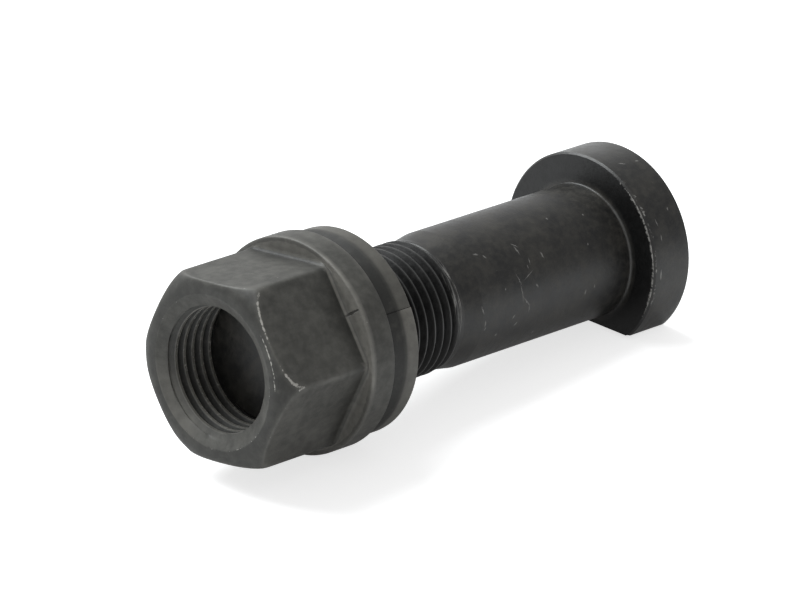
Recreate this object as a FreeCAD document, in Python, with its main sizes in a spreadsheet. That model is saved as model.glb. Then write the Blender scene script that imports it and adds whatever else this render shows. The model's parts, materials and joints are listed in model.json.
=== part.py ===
"""Wheel bolt: a D-headed stud, its collar nut and the split spring ring between them.

Each piece is turned about its own X axis, starting at its own nut-side end.
The assembly lies on a floor at Z = 0, on the head's flat and on the nut's collar.
"""
import FreeCAD, Part
import os

import Sketcher

V = FreeCAD.Vector

# Driving dimensions in millimetres and degrees
SIZES = [
    ("thread_diameter", 18.0),
    ("thread_pitch", 1.5),
    ("thread_length", 28.8),
    ("thread_clearance", 0.05),
    ("neck_depth", 0.25),
    ("neck_width", 0.7),
    ("cone_length", 3.0),
    ("shank_diameter", 18.5),
    ("stud_length", 61.3),
    ("head_diameter", 27.0),
    ("head_thickness", 7.0),
    ("head_bevel", 0.5),
    ("head_root", 0.35),
    ("flat_distance", 9.3),
    ("nut_overhang", 8.0),
    ("nut_height", 18.5),
    ("hex_across_flats", 24.0),
    ("hex_corner_diameter", 27.2),
    ("hex_length", 14.4),
    ("hex_turn", 52.74),
    ("hex_sides", 6),
    ("face_land", 0.75),
    ("face_chamfer_angle", 15.0),
    ("corner_chamfer_angle", 45.0),
    ("flat_fillet", 0.6),
    ("sink_width", 1.2),
    ("sink_half_angle", 60.0),
    ("collar_step", 0.9),
    ("edge_bevel", 0.4),
    ("ring_gap", 0.02),
    ("ring_clearance", 0.6),
    ("ring_diameter", 27.7),
    ("ring_front_diameter", 27.0),
    ("ring_front_taper", 2.2),
    ("ring_rim_height", 4.9),
    ("seat_bevel", 0.45),
    ("seat_radius", 22.0),
    ("slit_width", 0.3),
    ("slit_turn", 59.0),
]

# Depth of a metric thread for each millimetre of pitch
DEPTH_PER_PITCH = 0.6134

# Stations along the shared axis and the way the assembly comes to rest
REST = [
    ("head_back", "sizes.stud_length + sizes.head_thickness"),
    ("nut_back", "sizes.nut_height - sizes.nut_overhang"),
    ("bore_radius", "sizes.thread_diameter / 2 + sizes.thread_clearance"),
    ("sink_radius", "bore_radius + sizes.sink_width"),
    ("face_radius", "sink_radius + sizes.face_land"),
    ("break_radius", "(face_radius + sizes.hex_corner_diameter / 2) / 2"),
    ("face_chamfer", "(break_radius - face_radius) * tan(sizes.face_chamfer_angle)"),
    ("corner_chamfer", "(break_radius - face_radius) * tan(sizes.corner_chamfer_angle)"),
    ("collar_radius", "sizes.hex_corner_diameter / 2 + sizes.collar_step"),
    ("drop", "collar_radius - sizes.flat_distance"),
    ("tilt", "atan(drop / (head_back - nut_back))"),
    ("foot", "nut_back - sizes.edge_bevel"),
    ("axis_z", "foot * sin(tilt) + collar_radius * cos(tilt)"),
    ("front_x", "-sizes.nut_overhang * cos(tilt) - face_radius * sin(tilt)"),
    ("back_top", "sizes.head_diameter / 2 - sizes.edge_bevel"),
    ("back_x", "head_back * cos(tilt) + back_top * sin(tilt)"),
    ("axis_x", "-(front_x + back_x) / 2"),
]

doc = FreeCAD.newDocument("wheel_bolt")


def fill_sheet(name, rows):
    """Make a sheet with one named value in each row."""
    sheet = doc.addObject("Spreadsheet::Sheet", name)
    for number, (alias, content) in enumerate(rows, start=1):
        formula = isinstance(content, str)
        sheet.set(f"A{number}", alias)
        sheet.set(f"B{number}", f"={content}" if formula else str(content))
        sheet.setAlias(f"B{number}", alias)
    doc.recompute()
    return sheet


sizes = fill_sheet("sizes", SIZES)
rest = fill_sheet("rest", REST)
corner_sheet = doc.addObject("Spreadsheet::Sheet", "corners")


def number_of(cell):
    """Plain number held by a cell of the corner sheet."""
    content = corner_sheet.get(cell)
    return float(getattr(content, "Value", content))


def corner_points(first_row, corners):
    """Work out corners given as formulas, one row of the corner sheet each."""
    for row, (along, across) in enumerate(corners, start=first_row):
        corner_sheet.set(f"A{row}", f"={along}")
        corner_sheet.set(f"B{row}", f"={across}")
    doc.recompute()
    rows = range(first_row, first_row + len(corners))
    return [V(number_of(f"A{row}"), number_of(f"B{row}"), 0) for row in rows]


def arc_between(start, end, radius, bulge):
    """Arc between two points; bulge +1 swells to the left of the way, -1 to the right."""
    chord = end - start
    left = V(-chord.y, chord.x, 0).normalize()
    sagitta = radius - (radius ** 2 - chord.Length ** 2 / 4) ** 0.5
    middle = (start + end) / 2 + left * bulge * sagitta
    return Part.Arc(start, middle, end)


class Outline:
    """Closed outline in a sketch, its corners and arcs bound to formulas."""

    next_row = 1

    def __init__(self, body, role, name, corners, arcs=()):
        self.sketch = body.newObject("Sketcher::SketchObject", name)
        plane = next(f for f in body.Origin.OriginFeatures if f.Role == role)
        self.sketch.AttachmentSupport = [(plane, "")]
        self.sketch.MapMode = "FlatFace"
        self.corners = corners
        self.arcs = dict(arcs)
        self.points = corner_points(Outline.next_row, corners)
        Outline.next_row += len(corners)
        self.draw()

    def draw(self):
        """Add every side, join the sides up and tie each corner to its formulas."""
        count = len(self.points)
        for side in range(count):
            self.add_side(side, self.points[side], self.points[(side + 1) % count])
        for side in range(count):
            after = (side + 1) % count
            joint = Sketcher.Constraint("Coincident", side, self.end_of(side), after, self.start_of(after))
            self.sketch.addConstraint(joint)
        for side, (along, across) in enumerate(self.corners):
            self.tie("DistanceX", side, along, self.points[side].x, axis=-2)
            self.tie("DistanceY", side, across, self.points[side].y, axis=-1)
        doc.recompute()

    def add_side(self, side, start, end):
        """Add one side, straight or as an arc of a bound radius."""
        if side not in self.arcs:
            self.sketch.addGeometry(Part.LineSegment(start, end))
            return
        radius, bulge = self.arcs[side]
        value = sizes.get(radius)
        self.sketch.addGeometry(arc_between(start, end, value, bulge))
        label = f"radius_{side}"
        index = self.sketch.addConstraint(Sketcher.Constraint("Radius", side, value))
        self.sketch.renameConstraint(index, label)
        self.sketch.setExpression(f"Constraints.{label}", f"sizes.{radius}")

    def start_of(self, side):
        """Vertex number of a side's start: an arc runs anticlockwise, so it may begin at its far end."""
        return 2 if side in self.arcs and self.arcs[side][1] > 0 else 1

    def end_of(self, side):
        """Vertex number of a side's end."""
        return 3 - self.start_of(side)

    def tie(self, kind, side, formula, value, axis):
        """Hold a corner's distance from the origin at a formula, or hold it on an axis."""
        vertex = self.start_of(side)
        if formula == "0":
            self.sketch.addConstraint(Sketcher.Constraint("PointOnObject", side, vertex, axis))
            return
        label = f"{kind}_{side}"
        index = self.sketch.addConstraint(Sketcher.Constraint(kind, -1, 1, side, vertex, value))
        self.sketch.renameConstraint(index, label)
        self.sketch.setExpression(f"Constraints.{label}", formula)


def new_body(label, station):
    """Body of one piece, laid at its station along the resting axis."""
    body = doc.addObject("PartDesign::Body", label)
    body.Label = label
    body.Placement = FreeCAD.Placement(V(), FreeCAD.Rotation(V(0, 1, 0), rest.get("tilt")))
    body.setExpression("Placement.Rotation.Angle", "rest.tilt")
    body.setExpression("Placement.Base.x", f"rest.axis_x + ({station}) * cos(rest.tilt)")
    body.setExpression("Placement.Base.z", f"rest.axis_z - ({station}) * sin(rest.tilt)")
    return body


def turn(body, name, corners, arcs=()):
    """Turned blank: an outline swung about the piece's axis."""
    outline = Outline(body, "XZ_Plane", f"{name}_outline", corners, arcs)
    blank = body.newObject("PartDesign::Revolution", name)
    blank.Profile = outline.sketch
    blank.ReferenceAxis = (outline.sketch, ["H_Axis"])
    blank.Angle = 360
    doc.recompute()
    return blank


def cut(body, name, outline, length):
    """Pocket cut evenly to both sides of an outline's plane; it has to take material away."""
    before = body.Shape.Volume
    pocket = body.newObject("PartDesign::Pocket", name)
    pocket.Profile = outline.sketch
    pocket.SideType = "Symmetric"
    pocket.setExpression("Length", length)
    doc.recompute()
    if pocket.Shape.Volume >= before:
        raise RuntimeError(f"{name} cuts nothing")
    return pocket


def swing(outline, axis, angle):
    """Turn an outline's plane about one of its own axes by a named angle."""
    outline.sketch.AttachmentOffset = FreeCAD.Placement(V(), FreeCAD.Rotation(axis, sizes.get(angle)))
    outline.sketch.setExpression("AttachmentOffset.Rotation.Angle", f"sizes.{angle}")


# Stud: chamfered thread end, thread, neck, lead-in cone, shank and head
stud = new_body("wheel_stud", "0")
thread_r = "sizes.thread_diameter / 2"
neck_r = f"({thread_r} - sizes.neck_depth)"
shank_r = "sizes.shank_diameter / 2"
head_r = "sizes.head_diameter / 2"
thread_depth = f"{DEPTH_PER_PITCH} * sizes.thread_pitch"
turn(stud, "stud_blank", [
    ("0", "0"),
    ("0", f"{thread_r} - {thread_depth}"),
    (thread_depth, thread_r),
    ("sizes.thread_length", thread_r),
    ("sizes.thread_length + sizes.neck_depth", neck_r),
    ("sizes.thread_length + sizes.neck_width", neck_r),
    ("sizes.thread_length + sizes.neck_width + sizes.cone_length", shank_r),
    ("sizes.stud_length - sizes.head_root", shank_r),
    ("sizes.stud_length", f"{shank_r} + sizes.head_root"),
    ("sizes.stud_length", f"{head_r} - sizes.head_bevel"),
    ("sizes.stud_length + sizes.head_bevel", head_r),
    ("rest.head_back", head_r),
    ("rest.head_back", "0"),
])
flat_outline = Outline(stud, "XZ_Plane", "flat_outline", [
    ("sizes.stud_length", "-sizes.flat_distance"),
    ("sizes.stud_length", f"-{head_r}"),
    ("rest.head_back", f"-{head_r}"),
    ("rest.head_back", "-sizes.flat_distance"),
])
head_flat = cut(stud, "head_flat", flat_outline, "sizes.head_diameter")


def on_head_back(edge):
    """Whether an edge lies wholly in the head's back face."""
    back = rest.get("head_back")
    return all(abs(vertex.X - back) < 1e-6 for vertex in edge.Vertexes)


back_bevel = stud.newObject("PartDesign::Chamfer", "head_back_bevel")
back_edges = [f"Edge{n}" for n, edge in enumerate(head_flat.Shape.Edges, start=1) if on_head_back(edge)]
back_bevel.Base = (head_flat, back_edges)
back_bevel.setExpression("Size", "sizes.edge_bevel")

# Nut: turned blank with collar, countersunk bore and front chamfer, then the hexagon's flats
nut = new_body("wheel_nut", "-sizes.nut_overhang")
corner_r = "sizes.hex_corner_diameter / 2"
face_r = "rest.face_radius"
sink_r = "rest.sink_radius"
collar_r = "rest.collar_radius"
bore_r = "rest.bore_radius"
sink_depth = f"({sink_r} - {bore_r}) / tan(sizes.sink_half_angle)"
turn(nut, "nut_blank", [
    ("0", sink_r),
    ("0", face_r),
    ("rest.face_chamfer", "rest.break_radius"),
    ("rest.face_chamfer + rest.corner_chamfer", corner_r),
    ("sizes.hex_length", corner_r),
    ("sizes.hex_length", f"{collar_r} - sizes.edge_bevel"),
    ("sizes.hex_length + sizes.edge_bevel", collar_r),
    ("sizes.nut_height - sizes.edge_bevel", collar_r),
    ("sizes.nut_height", f"{collar_r} - sizes.edge_bevel"),
    ("sizes.nut_height", sink_r),
    (f"sizes.nut_height - {sink_depth}", bore_r),
    (sink_depth, bore_r),
])
hex_r = "sizes.hex_across_flats / 2"
side_outline = Outline(nut, "XZ_Plane", "hex_flat_outline", [
    ("0", hex_r),
    ("sizes.hex_length - sizes.flat_fillet", hex_r),
    ("sizes.hex_length", f"{hex_r} + sizes.flat_fillet"),
    ("sizes.hex_length", f"{collar_r} + sizes.flat_fillet"),
    ("0", f"{collar_r} + sizes.flat_fillet"),
], arcs={1: ("flat_fillet", -1)})
swing(side_outline, V(1, 0, 0), "hex_turn")
hex_flat = cut(nut, "hex_flat", side_outline, f"2 * {collar_r}")
hexagon = nut.newObject("PartDesign::PolarPattern", "hexagon")
hexagon.Originals = [hex_flat]
hexagon.Axis = (side_outline.sketch, ["H_Axis"])
hexagon.Angle = 360
hexagon.setExpression("Occurrences", "sizes.hex_sides")
nut.Tip = hexagon

# Ring: tapered and straight rim, ball seat on the wheel side, one slit through it
ring = new_body("spring_ring", "rest.nut_back + sizes.ring_gap")
ring_bore_r = f"({thread_r} + sizes.ring_clearance)"
rim_r = "sizes.ring_diameter / 2"
seat_r = f"({rim_r} - sizes.seat_bevel)"
ball_to_bore = f"sqrt(sizes.seat_radius ^ 2 - {ring_bore_r} ^ 2)"
ball_to_seat = f"sqrt(sizes.seat_radius ^ 2 - {seat_r} ^ 2)"
seat_rise = f"{ball_to_bore} - {ball_to_seat}"
turn(ring, "ring_blank", [
    ("0", ring_bore_r),
    ("0", "sizes.ring_front_diameter / 2"),
    ("sizes.ring_front_taper", rim_r),
    ("sizes.ring_rim_height - sizes.seat_bevel", rim_r),
    ("sizes.ring_rim_height", seat_r),
    (f"sizes.ring_rim_height + {seat_rise}", ring_bore_r),
], arcs={4: ("seat_radius", 1)})
slit_outline = Outline(ring, "YZ_Plane", "slit_outline", [
    ("-sizes.slit_width / 2", f"{ring_bore_r} / 2"),
    ("sizes.slit_width / 2", f"{ring_bore_r} / 2"),
    ("sizes.slit_width / 2", rim_r),
    ("-sizes.slit_width / 2", rim_r),
])
swing(slit_outline, V(0, 0, 1), "slit_turn")
cut(ring, "slit", slit_outline, f"2 * (sizes.ring_rim_height + {seat_rise})")

# Test every step, then write one file for each piece
doc.recompute()
for item in doc.Objects:
    if {"Invalid", "Error"} & set(item.State):
        raise RuntimeError(f"{item.Label} failed: {item.State}")
pieces = [stud, nut, ring]
for piece in pieces:
    if piece.Shape.isNull() or not piece.Shape.isValid() or len(piece.Shape.Solids) != 1:
        raise RuntimeError(f"{piece.Label} is not one valid solid")
os.makedirs("parts", exist_ok=True)
for piece in pieces:
    piece.Shape.exportStep(f"parts/{piece.Label}.step")
    box = piece.Shape.BoundBox
    print(piece.Label, round(piece.Shape.Volume, 2), [round(value, 3) for value in (
        box.XMin, box.XMax, box.YMin, box.YMax, box.ZMin, box.ZMax)])
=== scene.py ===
"""Wheel bolt: the looks of a black D-headed stud, its forged collar nut and the split ring between them.

Every shape is a grid of rows and columns about the bolt's own axis. A point of a grid has a station, which
is its distance along the axis from the stud's threaded end, an angle about the axis, counted from straight
up and right-handed along the stud, and a radius. Lengths are in millimetres until a grid becomes a mesh.
Angles are in radians, but those of sectors, marks, nicks and the camera are in degrees.
"""

import json
import logging
import math
from dataclasses import dataclass
from enum import Enum
from typing import Any, ClassVar, Sequence, Union

import bmesh
import bpy
import numpy as np
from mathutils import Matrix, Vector


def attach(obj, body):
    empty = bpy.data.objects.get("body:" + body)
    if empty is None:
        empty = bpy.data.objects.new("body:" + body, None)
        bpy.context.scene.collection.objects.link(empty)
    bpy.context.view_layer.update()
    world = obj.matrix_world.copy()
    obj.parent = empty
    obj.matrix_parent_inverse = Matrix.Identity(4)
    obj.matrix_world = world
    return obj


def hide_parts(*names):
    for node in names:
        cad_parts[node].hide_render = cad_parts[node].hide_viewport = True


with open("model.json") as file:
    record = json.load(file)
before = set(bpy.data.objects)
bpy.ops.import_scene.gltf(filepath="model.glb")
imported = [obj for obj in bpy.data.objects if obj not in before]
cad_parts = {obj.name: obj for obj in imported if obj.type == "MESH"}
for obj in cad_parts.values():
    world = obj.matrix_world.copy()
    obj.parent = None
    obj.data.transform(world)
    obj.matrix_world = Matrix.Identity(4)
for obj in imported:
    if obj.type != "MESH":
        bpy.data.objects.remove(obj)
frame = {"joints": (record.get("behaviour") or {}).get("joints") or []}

log = logging.getLogger("wheel_bolt")

MM = 0.001
WELD_DISTANCE = 2e-7
SHARP_ANGLE = math.radians(32.0)
HINGE = "nut_turn"
# The rubbing layer also carries painted highlights, and the grime layer carries painted shade.
WEAR_AND_LIGHT_LAYERS = ("rub_and_highlight", "chip", "grime_and_shade")

Triple = tuple[float, float, float]
Span = tuple[float, float]
Number = Union[float, "Value"]
Surface = Union[np.ndarray, float]


class Piece(Enum):
    """The CAD nodes, by the names they have in the frame."""

    STUD = "wheel_stud"
    NUT = "wheel_nut"
    RING = "spring_ring"


class Slot(Enum):
    """The record's material slots."""

    BLACK_OXIDE = "black_oxide"
    GREY_PHOSPHATE = "grey_phosphate"
    RING_PHOSPHATE = "ring_phosphate"


@dataclass(frozen=True)
class Axis:
    """The bolt's axis in the row frame.

    Attributes:
        origin: The centre of the stud's threaded end, in metres.
        along: The direction from the threaded end to the head.
        up: The direction at right angles to the axis that points away from the floor.
    """

    origin: np.ndarray
    along: np.ndarray
    up: np.ndarray

    @classmethod
    def of_joint(cls, joint: dict[str, Any]) -> "Axis":
        """Reads the axis from the nut's hinge.

        Args:
            joint: The hinge, as the frame lists it.

        Returns:
            The axis through the hinge.
        """
        along = np.array(joint["axis"])
        up = np.array((-along[2], 0.0, along[0]))
        return cls(np.array(joint["pos_m"]), along, up)

    @property
    def side(self) -> np.ndarray:
        """The direction that angles grow towards from straight up."""
        return np.cross(self.along, self.up)

    def place(self, station: np.ndarray, angle: np.ndarray, radius: np.ndarray) -> np.ndarray:
        """Turns stations, angles and radii into points.

        A point is the origin plus its station along the axis plus its radius in the direction of its angle.

        Args:
            station: Distances along the axis.
            angle: Angles about the axis.
            radius: Distances from the axis.

        Returns:
            The points in metres, with their coordinates in the last dimension.
        """
        out = np.cos(angle)[..., None] * self.up + np.sin(angle)[..., None] * self.side
        return self.origin + MM * (station[..., None] * self.along + radius[..., None] * out)


@dataclass
class Grid:
    """A sheet of points in rows and columns, with the wear and the painted highlight and shade of each point.

    Attributes:
        station: Distances along the axis.
        angle: Angles about the axis.
        radius: Distances from the axis.
        rub_and_highlight: How much lighter the coat is, from rubbing and from painted highlights, from 0 to
            1.
        chip: How exposed the coat is to chipping, from 0 to 1.
        grime_and_shade: How much darker the coat is, from dark deposit and from painted shade, from 0 to 1.
    """

    station: np.ndarray
    angle: np.ndarray
    radius: np.ndarray
    rub_and_highlight: np.ndarray
    chip: np.ndarray
    grime_and_shade: np.ndarray

    @classmethod
    def of(
        cls,
        station: Surface,
        angle: Surface,
        radius: Surface,
        rub_and_highlight: Surface = 0.0,
        chip: Surface = 0.0,
        grime_and_shade: Surface = 0.0,
    ) -> "Grid":
        """Spreads rows, columns or single values over one full grid.

        Args:
            station: Stations of any shape that fits the grid, as all of these are.
            angle: Angles.
            radius: Radii.
            rub_and_highlight: Rubbing and painted highlight.
            chip: Chipping.
            grime_and_shade: Deposit and painted shade.

        Returns:
            The grid.
        """
        parts = np.broadcast_arrays(station, angle, radius, rub_and_highlight, chip, grime_and_shade)
        return cls(*(np.array(part, float) for part in parts))

    def quads(self) -> np.ndarray:
        """Numbers the corners of the faces between neighbouring rows and columns.

        Returns:
            One row of four point numbers for each face.
        """
        number = np.arange(self.station.size).reshape(self.station.shape)
        corners = (number[:-1, :-1], number[:-1, 1:], number[1:, 1:], number[1:, :-1])
        return np.stack([corner.ravel() for corner in corners], axis=1)


def full_turn(columns: int) -> np.ndarray:
    """Spaces columns evenly round the axis, with the seam at the underside.

    Args:
        columns: The number of faces in one turn.

    Returns:
        The angles, first and last on the seam.
    """
    return np.linspace(-math.pi, math.pi, columns + 1)


def row_shares(*spans: tuple[float, float, int]) -> np.ndarray:
    """Spaces rows evenly within each of several spans.

    Args:
        spans: The first share, the last share and the number of rows of each span.

    Returns:
        The shares, as a column.
    """
    return np.concatenate([np.linspace(*span) for span in spans])[:, None]


def soft_min(first: Surface, second: Surface, reach: float) -> np.ndarray:
    """Takes the smaller of two surfaces and rounds the edge where they cross.

    Within the reach of each other, the result dips below both by the square of their closeness.

    Args:
        first: One surface.
        second: The other surface.
        reach: The difference at which rounding begins.

    Returns:
        The rounded smaller surface.
    """
    closeness = np.maximum(reach - np.abs(first - second), 0.0) / reach
    return np.minimum(first, second) - closeness**2 * reach / 4.0


def near(first: Surface, second: Surface, reach: float) -> np.ndarray:
    """Says how close two surfaces are, which is highest on the edge between them.

    The closeness falls along a bell curve of their difference.

    Args:
        first: One surface.
        second: The other surface.
        reach: The difference at which the answer is about a third.

    Returns:
        Closeness from 0 to 1.
    """
    return np.exp(-(((first - second) / reach) ** 2))


def smooth(value: np.ndarray, low: float, high: float) -> np.ndarray:
    """Rises from 0 at the low value to 1 at the high value along a cubic, level at both ends.

    Args:
        value: What is measured.
        low: Where the rise begins.
        high: Where it ends.

    Returns:
        The smoothed share.
    """
    share = np.clip((value - low) / (high - low), 0.0, 1.0)
    return share * share * (3.0 - 2.0 * share)


def hump(value: np.ndarray, rising: Span, falling: Span) -> np.ndarray:
    """Rises smoothly from 0 to 1 and later falls back to 0.

    Args:
        value: What is measured.
        rising: Where the rise begins and ends.
        falling: Where the fall begins and ends.

    Returns:
        The share.
    """
    return smooth(value, *rising) * (1.0 - smooth(value, *falling))


@dataclass(frozen=True)
class Sector:
    """A range of angles about the axis with soft ends.

    Attributes:
        low: Where it begins, in degrees.
        high: Where it ends, in degrees.
        ramp: Width of each soft end inside the range, in degrees.
    """

    low: float
    high: float
    ramp: float = 10.0

    def share(self, angle: np.ndarray) -> np.ndarray:
        """Gives 1 inside the range, 0 outside and something between in the soft ends."""
        ends = (self.low, self.low + self.ramp), (self.high - self.ramp, self.high)
        return hump(np.degrees(angle), *ends)


@dataclass(frozen=True)
class WornAndLit:
    """A place where the coat is lighter, chipped or darker: wear in most places, painted highlight and shade
    in some.

    Attributes:
        amount: How strong it is, from 0 to 1.
        reach: How far from the middle of its line it is down to about a third.
        sector: The angles at which it lies, all round if there is none.
    """

    amount: float
    reach: float = 1.0
    sector: Sector | None = None

    def at(self, angle: np.ndarray) -> Surface:
        """Gives its amount at each angle."""
        return self.amount * (1.0 if self.sector is None else self.sector.share(angle))

    def along(self, first: Surface, second: Surface, angle: np.ndarray) -> np.ndarray:
        """Gives its amount along the line where two surfaces meet, which is their closeness times the amount.
        """
        return near(first, second, self.reach) * self.at(angle)


ROUND_STEPS = 5
STRAIGHT_STEPS = 6
WORN_SHARE = 0.25


@dataclass(frozen=True)
class Corner:
    """A corner of a turned profile.

    Attributes:
        station: Distance along the axis.
        radius: Distance from the axis.
        rounding: Radius of the corner's rounding, 0 for a sharp one.
        chip: How exposed the corner is to chipping, from 0 to 1.
    """

    station: float
    radius: float
    rounding: float = 0.0
    chip: float = 0.0

    @property
    def point(self) -> np.ndarray:
        """The corner's station and radius."""
        return np.array((self.station, self.radius))

    def run(self, before: "Corner", after: "Corner") -> np.ndarray:
        """Rounds the corner between its neighbours.

        The curve leaves one side and meets the next at equal distances from the corner, the distance being
        the rounding times the tangent of half the turn.

        Args:
            before: The corner before it.
            after: The corner after it.

        Returns:
            Rows of station, radius and chipping.
        """
        if not self.rounding:
            return np.append(self.point, self.chip)[None]
        back, ahead = before.point - self.point, after.point - self.point
        back, ahead = back / np.linalg.norm(back), ahead / np.linalg.norm(ahead)
        turn = math.pi - math.acos(float(np.clip(back @ ahead, -1.0, 1.0)))
        reach = self.rounding * math.tan(turn / 2.0)
        enter, leave = self.point + back * reach, self.point + ahead * reach
        share = np.linspace(0.0, 1.0, ROUND_STEPS)[:, None]
        bend = (1 - share) ** 2 * enter + 2 * share * (1 - share) * self.point + share**2 * leave
        return np.hstack([bend, np.full_like(share, self.chip)])


def turned(corners: list[Corner]) -> list[np.ndarray]:
    """Runs along a profile and rounds its corners.

    The sides between the corners are straight, and a corner's chipping fades out along them.

    Args:
        corners: The profile's corners in order.

    Returns:
        The stations, radii and chipping of the profile's points, each as a column.
    """
    neighbours = zip(corners[:1] + corners, corners, corners[1:] + corners[-1:])
    runs = [corner.run(before, after) for before, corner, after in neighbours]
    line = runs[:1]
    share = np.linspace(0.0, 1.0, STRAIGHT_STEPS + 1)[1:-1, None]
    for start, end in zip(runs, runs[1:]):
        straight = start[-1] * (1 - share) + end[0] * share
        leaving = np.maximum(1 - share / WORN_SHARE, 0) * start[-1, 2]
        coming = np.maximum(1 - (1 - share) / WORN_SHARE, 0) * end[0, 2]
        straight[:, 2:] = leaving + coming
        line += [straight, end]
    return np.split(np.vstack(line), 3, axis=1)


@dataclass(frozen=True)
class Helix:
    """The stud's and the nut's common thread.

    Attributes:
        pitch: Advance in one turn.
        crest_station: Station of the stud's crest at the crest angle.
        crest_angle: Angle at which the crest passes that station.
        crest_half_width: Half of the crest's flat, along the axis.
        flank_slope: Fall of the radius along the axis, on a flank.
        samples: Rows in one pitch.
    """

    pitch: float = 1.5
    crest_station: float = 22.2
    crest_angle: float = math.radians(72.0)
    crest_half_width: float = pitch / 16.0
    flank_slope: float = math.sqrt(3.0)
    samples: int = 16

    def rows(self, low: float, high: float, angle: np.ndarray) -> np.ndarray:
        """Lays rows along the helix, so that crests and roots follow rows, and cuts them off at two stations.

        Row number n runs at n samples of a pitch beyond the crest, and advances by a pitch in each turn.

        Args:
            low: Station at which the rows are cut off.
            high: The other such station.
            angle: The columns' angles.

        Returns:
            The stations of the rows and columns.
        """
        advance = self.crest_station + self.pitch * (angle - self.crest_angle) / (2 * math.pi)
        first = math.floor((low - advance.max()) / self.pitch * self.samples) - 1
        last = math.ceil((high - advance.min()) / self.pitch * self.samples) + 1
        steps = np.arange(first, last + 1)[:, None] * self.pitch / self.samples
        return np.clip(advance[None, :] + steps, low, high)

    def flank(self, crest_radius: float, station: np.ndarray, angle: np.ndarray) -> np.ndarray:
        """Gives the thread's radius before its root is cut off.

        The distance to the nearest crest is what is left of the station, less the angle's advance, after
        whole pitches. The radius stays at the crest's over the flat, and falls along both flanks.

        Args:
            crest_radius: Radius of the crest's flat.
            station: Stations.
            angle: Angles about the axis.

        Returns:
            The radii.
        """
        turns = (station - self.crest_station) / self.pitch - (angle - self.crest_angle) / (2 * math.pi)
        from_crest = self.pitch * np.abs(turns - np.round(turns))
        past_flat = np.maximum(from_crest - self.crest_half_width, 0.0)
        return crest_radius - past_flat * self.flank_slope


def weld(name: str, grids: Sequence[Grid], axis: Axis) -> bpy.types.Object:
    """Makes one closed mesh of several grids that share edges.

    Args:
        name: The object's name.
        grids: The grids.
        axis: The bolt's axis.

    Returns:
        The object, with the attributes for rubbing and painted highlight, for chipping, and for deposit and
        painted shade on its points.
    """
    points = np.concatenate([axis.place(g.station, g.angle, g.radius).reshape(-1, 3) for g in grids])
    starts = np.cumsum([0] + [grid.station.size for grid in grids[:-1]])
    quads = np.concatenate([grid.quads() + start for grid, start in zip(grids, starts)])
    mesh = bpy.data.meshes.new(name)
    mesh.vertices.add(len(points))
    mesh.vertices.foreach_set("co", points.astype(np.float32).ravel())
    mesh.loops.add(quads.size)
    mesh.loops.foreach_set("vertex_index", quads.astype(np.int32).ravel())
    mesh.polygons.add(len(quads))
    mesh.polygons.foreach_set("loop_start", np.arange(0, quads.size, 4, dtype=np.int32))
    for layer in WEAR_AND_LIGHT_LAYERS:
        values = np.concatenate([getattr(grid, layer).ravel() for grid in grids]).astype(np.float32)
        mesh.attributes.new(layer, "FLOAT", "POINT").data.foreach_set("value", values)
    mesh.update(calc_edges=True)
    surface = bmesh.new()
    surface.from_mesh(mesh)
    bmesh.ops.remove_doubles(surface, verts=surface.verts, dist=WELD_DISTANCE)
    bmesh.ops.dissolve_degenerate(surface, edges=surface.edges, dist=WELD_DISTANCE)
    bmesh.ops.holes_fill(surface, edges=[edge for edge in surface.edges if edge.is_boundary])
    bmesh.ops.recalc_face_normals(surface, faces=surface.faces)
    surface.to_mesh(mesh)
    surface.free()
    mesh.shade_smooth()
    mesh.set_sharp_from_angle(angle=SHARP_ANGLE)
    made = bpy.data.objects.new(name, mesh)
    bpy.context.scene.collection.objects.link(made)
    log.info("%s: %d points, %d faces", name, len(mesh.vertices), len(mesh.polygons))
    return made


class Value:
    """A shader socket that takes part in arithmetic."""

    def __init__(self, tree: bpy.types.NodeTree, socket: bpy.types.NodeSocket) -> None:
        """Wraps an output socket of a tree."""
        self.tree = tree
        self.socket = socket

    def math(self, operation: str, *terms: Number) -> "Value":
        """Adds a Math node whose first input is this value.

        Args:
            operation: The node's operation.
            terms: The other inputs, as numbers or values.

        Returns:
            The result.
        """
        node = self.tree.nodes.new("ShaderNodeMath")
        node.operation = operation
        for socket, term in zip(node.inputs, (self, *terms)):
            if isinstance(term, Value):
                self.tree.links.new(term.socket, socket)
            else:
                socket.default_value = term
        return Value(self.tree, node.outputs[0])

    def __add__(self, other: Number) -> "Value":
        """Adds a number or a value."""
        return self.math("ADD", other)

    __radd__ = __add__

    def __mul__(self, other: Number) -> "Value":
        """Multiplies by a number or a value."""
        return self.math("MULTIPLY", other)

    __rmul__ = __mul__

    def __sub__(self, other: Number) -> "Value":
        """Takes a number or a value away."""
        return self.math("SUBTRACT", other)

    def __rsub__(self, other: Number) -> "Value":
        """Takes this value away from a number."""
        return self * -1.0 + other

    def __abs__(self) -> "Value":
        """Drops the sign."""
        return self.math("ABSOLUTE")

    def most(self, other: Number) -> "Value":
        """Takes the larger of this and another value."""
        return self.math("MAXIMUM", other)

    def rise(self, low: float, high: float) -> "Value":
        """Rises smoothly from 0 at the low value to 1 at the high value, or falls if low is the larger.

        Args:
            low: Where the result is 0.
            high: Where the result is 1.

        Returns:
            The share.
        """
        node = self.tree.nodes.new("ShaderNodeMapRange")
        node.interpolation_type = "SMOOTHSTEP"
        self.tree.links.new(self.socket, node.inputs["Value"])
        falls = low > high
        node.inputs["From Min"].default_value = min(low, high)
        node.inputs["From Max"].default_value = max(low, high)
        node.inputs["To Min"].default_value = float(falls)
        node.inputs["To Max"].default_value = float(not falls)
        return Value(self.tree, node.outputs["Result"])


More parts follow.
